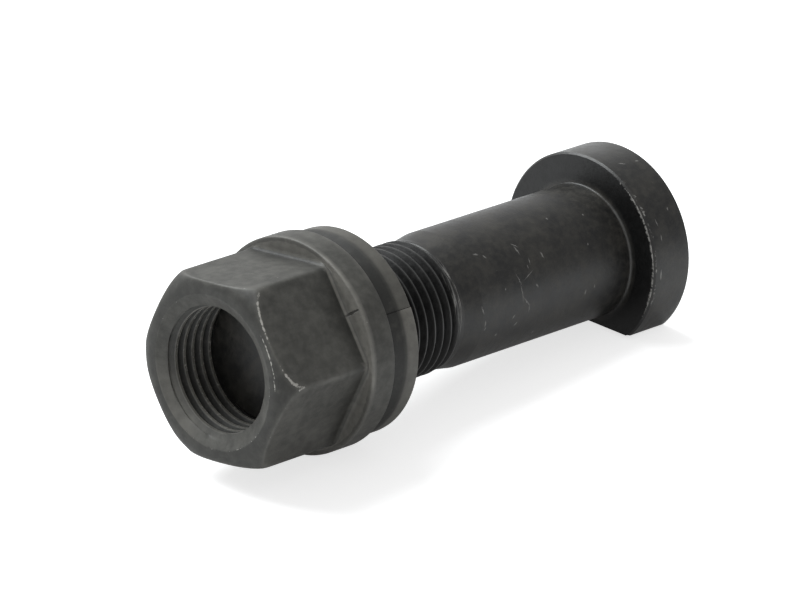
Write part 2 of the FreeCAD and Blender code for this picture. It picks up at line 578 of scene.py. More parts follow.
class Nodes:
    """A node tree that is filled through one method."""

    def __init__(self, tree: bpy.types.NodeTree) -> None:
        """Empties a tree to fill it anew."""
        self.tree = tree
        tree.nodes.clear()

    def node(
        self, kind: str, settings: dict[str, Any] | None = None, *terms: Any, **inputs: Any
    ) -> bpy.types.Node:
        """Adds any node.

        Args:
            kind: The node's type.
            settings: Its properties, set first.
            terms: Values or links of its first sockets, in order.
            inputs: Values or links of its other sockets, by name, with underscores for spaces.

        Returns:
            The node.
        """
        made = self.tree.nodes.new(kind)
        for name, value in (settings or {}).items():
            setattr(made, name, value)
        for socket, value in zip(made.inputs, terms):
            self.feed(socket, value)
        for name, value in inputs.items():
            self.feed(made.inputs[name.replace("_", " ")], value)
        return made

    def feed(self, socket: bpy.types.NodeSocket, value: Any) -> None:
        """Links or sets one input socket.

        Args:
            socket: The input socket.
            value: A value, a socket, or a constant.
        """
        if isinstance(value, Value):
            self.tree.links.new(value.socket, socket)
        elif isinstance(value, bpy.types.NodeSocket):
            self.tree.links.new(value, socket)
        else:
            socket.default_value = value

    def value(self, node: bpy.types.Node, output: str) -> Value:
        """Wraps a node's output of the given name."""
        return Value(self.tree, node.outputs[output])

    def vector(self, operation: str, *terms: Any, **inputs: Any) -> bpy.types.Node:
        """Adds a Vector Math node with the given first and named inputs."""
        return self.node("ShaderNodeVectorMath", {"operation": operation}, *terms, **inputs)

    def towards(self, place: bpy.types.NodeSocket, direction: Sequence[float]) -> Value:
        """Measures a place along a direction, by their dot product."""
        return self.value(self.vector("DOT_PRODUCT", place, tuple(direction)), "Value")


@dataclass(frozen=True)
class Layer:
    """A layer of noise in a finish, and its part in the look.

    Attributes:
        size: Size of a cloud, in the units of the coordinates.
        detail: Number of finer layers.
        span: Noise at which the layer's mask is 0 and 1.
        shade: Its part in the lighter colour.
        rough: Its part in the roughness.
        relief: Its part in the relief.
        mean: The value at which it leaves the roughness as it is.
    """

    size: float
    detail: float = 3.0
    span: Span = (0.0, 1.0)
    shade: float = 0.0
    rough: float = 0.0
    relief: float = 0.0
    mean: float = 0.5


@dataclass(frozen=True)
class Specks:
    """Small specks scattered over a surface.

    Attributes:
        spacing: Distance between places for a speck.
        size: Radius of a speck.
        share: Share of the places that have one.
    """

    spacing: float
    size: float
    share: float


@dataclass(frozen=True)
class Mark:
    """A short scratch or spot on the stud.

    Attributes:
        station: Its middle's distance along the axis.
        angle: Its middle's angle about the axis, in degrees.
        length: Its length.
        width: Its width.
        lean: Its turn from the axis's direction towards growing angles, in degrees.
    """

    station: float
    angle: float
    length: float = 0.35
    width: float = 0.22
    lean: float = 90.0


NOISE_ROUGHNESS = 0.6
SPECK_CORE = 0.4
SPECK_CHOICE = 0.8
CHIP_PULL = 0.8
MARK_NOISE = Layer(0.35)
MARK_RAGGED = 0.35
MARK_EDGE = (1.5, 0.2)
MARK_SKIN = (0.3, 0.15)
MIX_COLOURS = (6, 7)
MIX_RESULT = 2


class Paint(Nodes):
    """One material's node tree, with the bolt's own coordinates in millimetres."""

    def __init__(self, name: str, axis: Axis) -> None:
        """Starts a material.

        Args:
            name: The material's name.
            axis: The bolt's axis.
        """
        self.material = bpy.data.materials.new(name)
        self.material.use_nodes = True
        super().__init__(self.material.node_tree)
        place = self.node("ShaderNodeTexCoord").outputs["Object"]
        centred = self.vector("SUBTRACT", place, tuple(axis.origin)).outputs["Vector"]
        self.point = self.vector("SCALE", centred, Scale=1.0 / MM).outputs["Vector"]
        self.station = self.towards(self.point, axis.along)
        self.upward = self.towards(self.point, axis.up)
        self.sideward = self.towards(self.point, axis.side)
        self.radius = (self.upward * self.upward + self.sideward * self.sideward).math("SQRT")
        self.angle = self.sideward.math("ARCTAN2", self.upward)

    def combine(self, x: Number, y: Number, z: Number) -> bpy.types.NodeSocket:
        """Makes a vector of three values."""
        return self.node("ShaderNodeCombineXYZ", None, x, y, z).outputs["Vector"]

    def noise(self, layer: Layer, at: bpy.types.NodeSocket | None = None) -> Value:
        """Adds cloudy noise.

        Args:
            layer: The layer to make.
            at: The coordinates, the point in millimetres if none are given.

        Returns:
            The noise, about 0.5 on average.
        """
        scale, detail = 1.0 / layer.size, layer.detail
        sockets = {"Vector": self.point if at is None else at, "Scale": scale, "Detail": detail}
        return self.value(self.node("ShaderNodeTexNoise", Roughness=NOISE_ROUGHNESS, **sockets), "Fac")

    def mask(self, layer: Layer) -> Value:
        """Adds a layer's noise, spread from 0 to 1 over its span."""
        return self.noise(layer).rise(*layer.span)

    def specks(self, specks: Specks) -> Value:
        """Scatters small specks.

        A cell of a Voronoi pattern has a speck at its middle if its random colour is below the share.

        Args:
            specks: The specks to scatter.

        Returns:
            The specks' mask.
        """
        cell = self.node("ShaderNodeTexVoronoi", Vector=self.point, Scale=1.0 / specks.spacing)
        chosen = self.node("ShaderNodeSeparateColor", None, cell.outputs["Color"])
        reach = specks.size / specks.spacing
        close = self.value(cell, "Distance").rise(reach, SPECK_CORE * reach)
        return close * self.value(chosen, "Red").rise(specks.share, SPECK_CHOICE * specks.share)

    def marks(self, marks: Sequence[Mark], radius: float) -> Value:
        """Draws short strokes on a cylinder.

        A stroke is an ellipse in the cylinder's unrolled surface, with a ragged edge.

        Args:
            marks: The strokes.
            radius: The cylinder's radius.

        Returns:
            The strokes' mask.
        """
        ragged = (self.noise(MARK_NOISE) - MARK_NOISE.mean) * MARK_RAGGED
        sheet = self.combine(self.station + ragged, self.angle * radius - ragged, 0.0)
        skin = abs(self.radius - radius).rise(*MARK_SKIN)
        strokes = []
        for mark in marks:
            local = self.node(
                "ShaderNodeMapping",
                {"vector_type": "TEXTURE"},
                Vector=sheet,
                Location=(mark.station, math.radians(mark.angle) * radius, 0.0),
                Rotation=(0.0, 0.0, math.radians(mark.lean)),
                Scale=(mark.length / 2, mark.width / 2, 1.0),
            )
            away = self.value(self.vector("LENGTH", local.outputs["Vector"]), "Value")
            strokes.append(away.rise(*MARK_EDGE))
        drawn = strokes[0]
        for stroke in strokes[1:]:
            drawn = drawn.most(stroke)
        return drawn * skin

    def mix(self, share: Number, *colours: Any) -> bpy.types.NodeSocket:
        """Mixes two colours.

        Args:
            share: How much of the second colour there is.
            colours: Two colours or sockets.

        Returns:
            The mixed colour's socket.
        """
        node = self.node("ShaderNodeMix", {"data_type": "RGBA"}, share)
        for number, colour in zip(MIX_COLOURS, colours):
            self.feed(node.inputs[number], (*colour, 1.0) if isinstance(colour, tuple) else colour)
        return node.outputs[MIX_RESULT]

    def attribute(self, name: str) -> Value:
        """Reads a mesh attribute."""
        return self.value(self.node("ShaderNodeAttribute", {"attribute_name": name}), "Fac")

    def rubbed(self, layer: Layer, least: float) -> Value:
        """Spreads the mesh's rubbing and painted highlights unevenly, with a least share of them everywhere.
        """
        return self.attribute("rub_and_highlight") * (self.mask(layer) * (1.0 - least) + least)

    def chipped(self, edge: Value, level: float, width: float) -> Value:
        """Chips the coat where noise and the mesh's exposure together rise over a level.

        Args:
            edge: The noise.
            level: The level.
            width: How far over the level a chip is bare.

        Returns:
            The chips' mask.
        """
        return (edge + self.attribute("chip") * CHIP_PULL - level).rise(0.0, width)

    def bump(self, height: Value, depth: float) -> bpy.types.NodeSocket:
        """Makes relief of the given depth in millimetres from heights between 0 and 1."""
        relief = self.node("ShaderNodeBump", Height=height, Distance=depth * MM, Strength=1.0)
        return relief.outputs["Normal"]

    def surface(self, **inputs: Any) -> bpy.types.Material:
        """Ends the material with a Principled surface.

        Args:
            inputs: The surface's inputs, by name, with underscores for spaces.

        Returns:
            The material.
        """
        shader = self.node("ShaderNodeBsdfPrincipled", **inputs)
        self.node("ShaderNodeOutputMaterial", Surface=shader.outputs["BSDF"])
        return self.material


SHANK_MARKS = (
    Mark(41.6, 38.0, 1.0, 0.16, 40.0),
    Mark(41.5, 42.5, 1.3, 0.18, 80.0),
    Mark(45.3, 53.0, 0.9, 0.22, 75.0),
    Mark(42.7, 54.5, 0.8, 0.15, 100.0),
    Mark(42.1, 58.2, 0.5, 0.16, 85.0),
    Mark(39.9, 66.0, 1.7, 0.12, 70.0),
    Mark(40.1, 77.0, 2.2, 0.13, 85.0),
    Mark(40.9, 86.0, 1.7, 0.13, 50.0),
    Mark(41.4, 93.0, 1.0, 0.11, 90.0),
    Mark(41.8, 65.0, 1.8, 0.11, 155.0),
    Mark(43.0, 75.3, 0.6, 0.2, 60.0),
    Mark(52.5, 95.3, 0.7, 0.22, 95.0),
    Mark(54.2, 92.5, 0.5, 0.14, 90.0),
    Mark(32.5, 81.0, 1.1, 0.17, 75.0),
    Mark(33.0, 93.4, 0.9, 0.2, 95.0),
    Mark(33.1, 98.0, 0.5, 0.18, 120.0),
    Mark(35.7, 108.2, 0.3, 0.28, 90.0),
    Mark(38.5, 95.7, 0.6, 0.24, 130.0),
    Mark(39.2, 103.5, 0.7, 0.2, 140.0),
    Mark(44.0, 121.7, 0.6, 0.16, 90.0),
    Mark(34.5, 34.9, 0.7, 0.3, 20.0),
    Mark(35.7, 39.1, 0.6, 0.25, 60.0),
    Mark(49.9, 23.7),
    Mark(55.9, 30.9, 0.3, 0.2),
    Mark(37.1, 70.0, 0.25, 0.2),
    Mark(54.0, 56.0, 0.25, 0.2),
)
HEAD_MARKS = (
    Mark(64.2, 16.1, 0.9, 0.22, 30.0),
    Mark(66.8, 17.6, 0.5, 0.25, 20.0),
    Mark(63.2, 57.9, 0.9, 0.18, 80.0),
    Mark(63.3, 67.2, 0.9, 0.16, 90.0),
    Mark(66.1, 52.4, 0.4, 0.25),
    Mark(62.6, 88.0, 1.3, 0.3, 90.0),
)


@dataclass(frozen=True)
class ScratchedLand:
    """The scratched land at the thread's end, on the side that faces up and to the right.

    Attributes:
        lines: The noise whose ridges are the scratches.
        stretch: Scale of the noise along the axis and round it, which draws it out into lines.
        start: Stations between which the scratches set in.
        end: Stations between which they end, the last one first.
        facing: Angles between which they set in, in degrees.
        hidden: Angles between which they end, the last one first.
    """

    lines: Layer = Layer(1.0, 2.0, (0.5, 0.68))
    stretch: Span = (7.0, 2.2)
    start: Span = (27.7, 28.0)
    end: Span = (29.3, 28.9)
    facing: Span = (15.0, 50.0)
    hidden: Span = (105.0, 75.0)

    def mask(self, paint: Paint) -> Value:
        """Draws the scratches.

        Args:
            paint: The material in work.

        Returns:
            The scratches' mask.
        """
        along, around = self.stretch
        drawn_out = paint.combine(paint.station * along, paint.angle * around, 0.0)
        lines = paint.noise(self.lines, drawn_out).rise(*self.lines.span)
        here = paint.station.rise(*self.start) * paint.station.rise(*self.end)
        seen = paint.angle.rise(*np.radians(self.facing)) * paint.angle.rise(*np.radians(self.hidden))
        return lines * here * seen


@dataclass(frozen=True)
class BlackOxide:
    """Satin black oxide on turned steel, with dust, scuffs, fine scratches and worn edges.

    Attributes:
        shank_radius: Radius of the shank, which the shank's marks lie on.
        head_radius: Radius of the head, which the head's marks lie on.
        name: The material's name.
        colour: The oxide's colour.
        grey: The colour of thin oxide.
        soot_and_shade: The colour of dark deposit and of painted shade.
        rubbed: The colour of crests and edges that are rubbed, and of painted highlights.
        steel: The colour of bare steel and of scratches.
        roughness: The oxide's roughness.
        cloud: Broad clouds of thin oxide.
        mottle: Small clouds of thin oxide.
        grain: The finest grain.
        turning: Traces of turning, drawn out round the axis.
        turning_stretch: Scale of those traces along the axis and round it.
        fine_edge: Small noise of a chip's edge.
        broad_edge: Larger noise of a chip's edge.
        chip_level: What noise and exposure have to reach for a chip.
        chip_width: How far over that level a chip is bare.
        wear: Unevenness of rubbed places and painted highlights.
        least_rub: The share of rubbing and painted highlight that is there everywhere.
        dust: Specks of dust.
        land: The scratched land at the thread's end.
        chip_share: How bare a chip is.
        land_share: How bare the land's scratches are.
        mark_share: How bare a mark is.
        dust_share: How light the dust is.
        chip_metal: How metallic a chip is.
        mark_relief: The marks' part in the relief.
        relief_depth: Depth of the relief.
    """

    shank_radius: float
    head_radius: float
    name: str = "black oxide"
    colour: Triple = (0.0075, 0.0076, 0.0078)
    grey: Triple = (0.040, 0.037, 0.031)
    soot_and_shade: Triple = (0.0015, 0.0015, 0.0016)
    rubbed: Triple = (0.17, 0.17, 0.165)
    steel: Triple = (0.42, 0.41, 0.39)
    roughness: float = 0.40
    cloud: Layer = Layer(5.0, 5.0, (0.36, 0.70), shade=0.4)
    mottle: Layer = Layer(1.1, 5.0, (0.36, 0.72), shade=0.45, rough=0.10, relief=0.4, mean=0.4)
    grain: Layer = Layer(0.22, rough=0.14, relief=0.5)
    turning: Layer = Layer(1.0, 2.0, rough=0.12, relief=0.35)
    turning_stretch: Span = (5.0, 0.6)
    fine_edge: Layer = Layer(0.35, shade=0.6)
    broad_edge: Layer = Layer(1.4, 2.0, shade=0.5)
    chip_level: float = 1.05
    chip_width: float = 0.2
    wear: Layer = Layer(2.0, span=(0.2, 0.8))
    least_rub: float = 0.5
    dust: Specks = Specks(2.3, 0.10, 0.25)
    land: ScratchedLand = ScratchedLand()
    chip_share: float = 0.8
    land_share: float = 0.7
    mark_share: float = 0.40
    dust_share: float = 0.30
    chip_metal: float = 0.4
    mark_relief: float = 0.4
    relief_depth: float = 0.022

    def material(self, axis: Axis) -> bpy.types.Material:
        """Makes the material.

        Args:
            axis: The bolt's axis.

        Returns:
            The material.
        """
        paint = Paint(self.name, axis)
        along, around = self.turning_stretch
        drawn_out = paint.combine(paint.station * along, paint.angle * around, 0.0)
        cloud, mottle = paint.mask(self.cloud), paint.mask(self.mottle)
        grain, turning = paint.noise(self.grain), paint.noise(self.turning, drawn_out)
        edge = paint.noise(self.fine_edge) * self.fine_edge.shade
        edge = edge + paint.noise(self.broad_edge) * self.broad_edge.shade
        chips = paint.chipped(edge, self.chip_level, self.chip_width)
        marks = paint.marks(SHANK_MARKS, self.shank_radius).most(paint.marks(HEAD_MARKS, self.head_radius))
        thin = cloud * self.cloud.shade + mottle * self.mottle.shade
        # Deposit and painted shade darken the coat, and rubbing and painted highlights lighten it.
        grimed_and_shaded = paint.mix(paint.attribute("grime_and_shade"), paint.mix(thin, self.colour, self.grey), self.soot_and_shade)
        touched = paint.mix(paint.rubbed(self.wear, self.least_rub), grimed_and_shaded, self.rubbed)
        bare = (chips * self.chip_share).most(self.land.mask(paint) * self.land_share)
        bare = bare.most(marks * self.mark_share).most(paint.specks(self.dust) * self.dust_share)
        rough: Number = self.roughness
        height = marks * self.mark_relief
        for layer, value in ((self.grain, grain), (self.mottle, mottle), (self.turning, turning)):
            rough = rough + (value - layer.mean) * layer.rough
            height = height + value * layer.relief
        return paint.surface(
            Base_Color=paint.mix(bare, touched, self.steel),
            Roughness=rough,
            Metallic=chips * self.chip_metal,
            Normal=paint.bump(height, self.relief_depth),
        )


@dataclass(frozen=True)
class Nick:
    """A nick across the collar's front.

    Attributes:
        angle: Its angle about the axis, in degrees.
        width: Distances from its middle at which it is not cut and fully cut.
        inner: Radii between which it sets in.
        outer: Radii between which it ends, the last one first.
        start: Stations between which it sets in.
        end: Stations between which it ends, the last one first.
        edge: The noise of its edges.
        ragged: How far its edges wander.
        shade: How dark it is.
        depth: Its depth against the coat's relief.
    """

    angle: float
    width: Span = (0.22, 0.08)
    inner: Span = (11.9, 12.2)
    outer: Span = (14.4, 14.1)
    start: Span = (5.6, 5.9)
    end: Span = (6.9, 6.6)
    edge: Layer = Layer(0.5)
    ragged: float = 0.5
    shade: float = 0.8
    depth: float = 3.0

    def mask(self, paint: Paint) -> Value:
        """Cuts the nick.

        Args:
            paint: The material in work.

        Returns:
            The nick's mask.
        """
        wander = (paint.noise(self.edge) - self.edge.mean) * self.ragged
        across = abs((paint.angle - math.radians(self.angle)) * paint.radius + wander)
        lens = paint.radius.rise(*self.inner) * paint.radius.rise(*self.outer)
        rim = paint.station.rise(*self.start) * paint.station.rise(*self.end)
        return across.rise(*self.width) * lens * rim


@dataclass(frozen=True)
class Phosphate:
    """Matt phosphate on steel, cloudy, with rubbed and chipped edges and a few rust flecks.

    Attributes:
        name: The material's name.
        dark: The darker clouds' colour.
        light: The lighter clouds' colour.
        soot_and_shade: The colour of dark deposit and of painted shade.
        rubbed: The colour of rubbed edges and of painted highlights.
        steel: The colour of chips.
        rust: The colour of rust flecks.
        roughness: The coat's roughness.
        cloud: Broad light clouds.
        patch: Small light clouds.
        grain: The finest grain.
        lay: Streaks along the axis.
        lay_stretch: Scale of the streaks along the axis.
        edge: The noise of a chip's edge.
        chip_level: What noise and exposure have to reach for a chip.
        chip_width: How far over that level a chip is bare.
        chip_share: How bare a chip is.
        chip_gloss: How much smoother a chip is.
        chip_metal: How metallic a chip is.
        wear: Unevenness of rubbed places and painted highlights.
        least_rub: The share of rubbing and painted highlight that is there everywhere.
        rub_gloss: How much smoother the rubbed and highlighted places are.
        dark_mottle: Unevenness of the deposit and painted shade.
        flecks: Bright flecks.
        fleck_share: How bright a fleck is.
        rust_flecks: Flecks of rust.
        rust_share: How strong the rust is.
        rust_reach: Radii between which the rust sets in, towards the mouth.
        relief_depth: Depth of the relief.
        nick: The nick in the collar's front, or none.
    """

    name: str
    dark: Triple = (0.022, 0.0215, 0.0185)
    light: Triple = (0.092, 0.090, 0.080)
    soot_and_shade: Triple = (0.006, 0.006, 0.005)
    rubbed: Triple = (0.210, 0.202, 0.182)
    steel: Triple = (0.50, 0.485, 0.45)
    rust: Triple = (0.12, 0.045, 0.025)
    roughness: float = 0.56
    cloud: Layer = Layer(5.0, 5.0, (0.30, 0.70), shade=0.35)
    patch: Layer = Layer(1.2, 5.0, (0.30, 0.72), shade=0.35, relief=0.4)
    grain: Layer = Layer(0.16, rough=0.2, relief=0.4)
    lay: Layer = Layer(0.45, shade=0.3, relief=0.3)
    lay_stretch: float = 0.12
    edge: Layer = Layer(0.45)
    chip_level: float = 1.0
    chip_width: float = 0.22
    chip_share: float = 0.85
    chip_gloss: float = 0.15
    chip_metal: float = 0.5
    wear: Layer = Layer(1.3, 4.0, (0.2, 0.75))
    least_rub: float = 0.55
    rub_gloss: float = 0.1
    dark_mottle: Layer = Layer(1.7, span=(0.1, 0.55))
    flecks: Specks = Specks(2.4, 0.10, 0.12)
    fleck_share: float = 0.4
    rust_flecks: Specks = Specks(1.9, 0.2, 0.05)
    rust_share: float = 0.7
    rust_reach: Span = (11.2, 10.2)
    relief_depth: float = 0.025
    nick: Nick | None = None

    def material(self, axis: Axis) -> bpy.types.Material:
        """Makes the material.

        Args:
            axis: The bolt's axis.

        Returns:
            The material.
        """
        paint = Paint(self.name, axis)
        drawn_out = paint.combine(paint.station * self.lay_stretch, paint.upward, paint.sideward)
        cloud, patch = paint.mask(self.cloud), paint.mask(self.patch)
        grain, lay = paint.noise(self.grain), paint.noise(self.lay, drawn_out)
        chips = paint.chipped(paint.noise(self.edge), self.chip_level, self.chip_width)
        # Rubbing and painted highlights lighten the coat, and dark deposit and painted shade darken it, both
        # spread unevenly.
        rub_and_highlight = paint.rubbed(self.wear, self.least_rub)
        grime_and_shade = paint.attribute("grime_and_shade") * paint.mask(self.dark_mottle)
        rusty = paint.specks(self.rust_flecks) * paint.radius.rise(*self.rust_reach) * self.rust_share
        shade = cloud * self.cloud.shade + patch * self.patch.shade + lay * self.lay.shade
        grimed_and_shaded = paint.mix(grime_and_shade, paint.mix(shade, self.dark, self.light), self.soot_and_shade)
        rusted = paint.mix(rusty, paint.mix(rub_and_highlight, grimed_and_shaded, self.rubbed), self.rust)
        bare = (chips * self.chip_share).most(paint.specks(self.flecks) * self.fleck_share)
        colour = paint.mix(bare, rusted, self.steel)
        height = grain * self.grain.relief + patch * self.patch.relief + lay * self.lay.relief
        if self.nick is not None:
            cut = self.nick.mask(paint)
            colour = paint.mix(cut * self.nick.shade, colour, self.dark)
            height = height - cut * self.nick.depth
        rough = self.roughness + (grain - self.grain.mean) * self.grain.rough
        return paint.surface(
            Base_Color=colour,
            Roughness=rough - chips * self.chip_gloss - rub_and_highlight * self.rub_gloss,
            Metallic=chips * self.chip_metal,
            Normal=paint.bump(height, self.relief_depth),
        )


@dataclass
class Assembly:
    """What every piece of the bolt does in the same way.

    Attributes:
        piece: The CAD node that the piece stands for.
        body: The body that it rides on.
        coat: Its material slot.
        axis: The bolt's axis.
        columns: Faces in one turn.
    """

    piece: ClassVar[Piece]
    body: ClassVar[str]
    coat: ClassVar[Slot]

    axis: Axis
    columns: int = 240

    def grids(self) -> list[Grid]:
        """Shapes the piece as grids that close its surface."""
        raise NotImplementedError

    def finish(self) -> BlackOxide | Phosphate:
        """Chooses the piece's finish."""
        raise NotImplementedError

    def build(self) -> bpy.types.Object:
        """Makes the piece in place of its CAD node.

        Returns:
            The object.
        """
        made = weld(f"{self.piece.value}_detail", self.grids(), self.axis)
        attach(made, self.body)
        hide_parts(self.piece.value)
        self.dress(made)
        return made

    def dress(self, made: bpy.types.Object) -> None:
        """Gives the piece its finish.

        Args:
            made: The piece's object.
        """
        finish = self.finish()
        made.data.materials.append(finish.material(self.axis))
        log.info("%s: %s", made.name, finish.name)


@dataclass(frozen=True)
class StudWearAndLight:
    """Where the stud's coat is worn, and where highlight and shade are painted on it.

    Attributes:
        crest: Rubbing and painted highlight on the thread's crests.
        thread_shade: Painted shade in the thread.
        chipped: Where the edges are chipped in full.
        least_chip: The share of chipping elsewhere.
        flat: Chipping along the edge of the head's flat.
        root: Rubbing of the corner under the head.
        root_step: How far outside the shank that rubbing is strongest.
        rim: Painted highlight on the top of the head's rim.
        seat_margin: How far outside the shank the painted shade on the head's seat begins.
        slack: How close to a surface a point counts as on it.
    """

    crest: WornAndLit = WornAndLit(0.25, 0.04)
    thread_shade: float = 0.9
    chipped: Sector = Sector(15.0, 130.0, 30.0)
    least_chip: float = 0.45
    flat: WornAndLit = WornAndLit(0.35, 0.5)
    root: WornAndLit = WornAndLit(0.36, 0.15, Sector(20.0, 120.0, 20.0))
    root_step: float = 0.1
    rim: WornAndLit = WornAndLit(0.36, sector=Sector(-80.0, 22.0, 35.0))
    seat_margin: float = 0.5
    slack: float = 0.05


@dataclass
class Stud(Assembly):
    """The threaded stud with its D-shaped head.

    Attributes:
        columns: Faces in one turn.
        end_rows: Rows of points on the threaded end.
        helix: The thread.
        thread_radius: Radius of the thread's crests.
        root_radius: Radius of the thread's roots.
        thread_length: Where the thread ends.
        run_out: Length over which the thread turns into the neck.
        neck_radius: Radius of the neck.
        neck_end: Where the neck ends.
        cone_end: Where the lead-in cone ends.
        cone_rounding: Rounding between the cone and the shank.
        shank_radius: Radius of the shank.
        shank_end: Where the shank meets the head's seat.
        fillet: Radius of the corner there.
        head_radius: Radius of the head.
        head_end: Where the head ends.
        head_bevel: Bevel round the seat.
        head_back_round: Rounding of the head's back edge.
        flat_distance: Distance of the head's flat from the axis.
        flat_rounding: Rounding of the flat's edges.
        edge_rounding: Rounding of the other edges.
        least_cosine: Least cosine for which the flat's reach is worked out.
        wear: The stud's wear, and its painted highlights and shade.
    """

    piece: ClassVar[Piece] = Piece.STUD
    body: ClassVar[str] = "stud"
    coat: ClassVar[Slot] = Slot.BLACK_OXIDE

    columns: int = 192
    end_rows: int = 8
    helix: Helix = Helix()
    thread_radius: float = 9.0
    root_radius: float = 8.08
    thread_length: float = 28.8
    run_out: float = 1.0
    neck_radius: float = 8.75
    neck_end: float = 29.5
    cone_end: float = 32.5
    cone_rounding: float = 1.3
    shank_radius: float = 9.25
    shank_end: float = 61.3
    fillet: float = 0.35
    head_radius: float = 13.5
    head_end: float = 68.3
    head_bevel: float = 0.28
    head_back_round: float = 0.25
    flat_distance: float = 9.3
    flat_rounding: float = 0.35
    edge_rounding: float = 0.12
    least_cosine: float = 0.05
    wear: StudWearAndLight = StudWearAndLight()

    def finish(self) -> BlackOxide:
        """Chooses black oxide, with marks on the shank and the head."""
        return BlackOxide(self.shank_radius, self.head_radius)

    def thread(self, angle: np.ndarray) -> Grid:
        """Shapes the thread.

        The radius is the larger of the flanks and the root, kept inside a chamfer at the end, and it turns
        into the neck's over the run-out.

        Args:
            angle: The columns' angles.

        Returns:
            The thread's grid.
        """
        station = self.helix.rows(0.0, self.thread_length, angle)
        cut = np.maximum(self.helix.flank(self.thread_radius, station, angle), self.root_radius)
        cut = np.minimum(cut, self.root_radius + station)
        ending = smooth(station, self.thread_length - self.run_out, self.thread_length)
        radius = cut * (1 - ending) + self.neck_radius * ending
        # The crests are rubbed lighter, which also paints their highlight.
        rub_and_highlight = self.wear.crest.along(cut, self.thread_radius, angle)
        # The thread is darkened with painted shade, which fades over the run-out.
        return Grid.of(station, angle, radius, rub_and_highlight, grime_and_shade=self.wear.thread_shade * (1 - ending))

    def profile(self) -> list[np.ndarray]:
        """Runs from the thread's end over the neck, the cone, the shank and the head to the back's middle.

        Returns:
            The profile's stations, radii and chipping.
        """
        edge, bevel = self.edge_rounding, self.head_bevel
        return turned(
            [
                Corner(self.thread_length, self.neck_radius),
                Corner(self.neck_end, self.neck_radius, edge),
                Corner(self.cone_end, self.shank_radius, self.cone_rounding),
                Corner(self.shank_end, self.shank_radius, self.fillet, chip=0.3),
                Corner(self.shank_end, self.head_radius - bevel, edge, chip=0.8),
                Corner(self.shank_end + bevel, self.head_radius, edge, chip=0.6),
                Corner(self.head_end, self.head_radius, self.head_back_round, chip=0.2),
                Corner(self.head_end, 0.0),
            ]
        )

    def grids(self) -> list[Grid]:
        """Shapes the stud from its end, over the thread and the shank, to the back of its head.

        The head's flat is a plane under the axis. A column reaches as far as the flat's distance over the
        cosine from straight down, and the edge between the flat and the turned profile is rounded.

        Returns:
            The end, the thread and the turned rest.
        """
        wear, angle = self.wear, full_turn(self.columns)[None, :]
        end = Grid.of(0.0, angle, np.linspace(0.0, self.root_radius, self.end_rows)[:, None])
        station, radius, chip = self.profile()
        limit = self.flat_distance / np.maximum(-np.cos(angle), self.least_cosine)
        on_head = station > self.shank_end
        held = np.where(on_head, soft_min(radius, limit, self.flat_rounding), np.minimum(radius, limit))
        outer = on_head & (radius > self.head_radius - 2 * self.head_bevel)
        chip = chip * (wear.least_chip + (1 - wear.least_chip) * wear.chipped.share(angle))
        chip = np.maximum(chip, wear.flat.along(radius, limit, angle) * outer)
        root = wear.root.along(radius, self.shank_radius + wear.root_step, angle)
        # The top of the head's rim gets a painted highlight.
        rim = (station > self.shank_end + self.head_bevel) & (radius > self.head_radius - wear.slack)
        rub_and_highlight = root * (station > self.shank_end - self.fillet) + rim * wear.rim.at(angle)
        # The head's seat gets painted shade beyond the shank.
        on_seat = np.abs(station - self.shank_end) < wear.slack
        grime_and_shade = on_seat & (radius > self.shank_radius + wear.seat_margin)
        return [end, self.thread(angle[0]), Grid.of(station, angle, held, rub_and_highlight, chip, grime_and_shade)]


RIGHT_SIDE = Sector(12.0, 100.0)


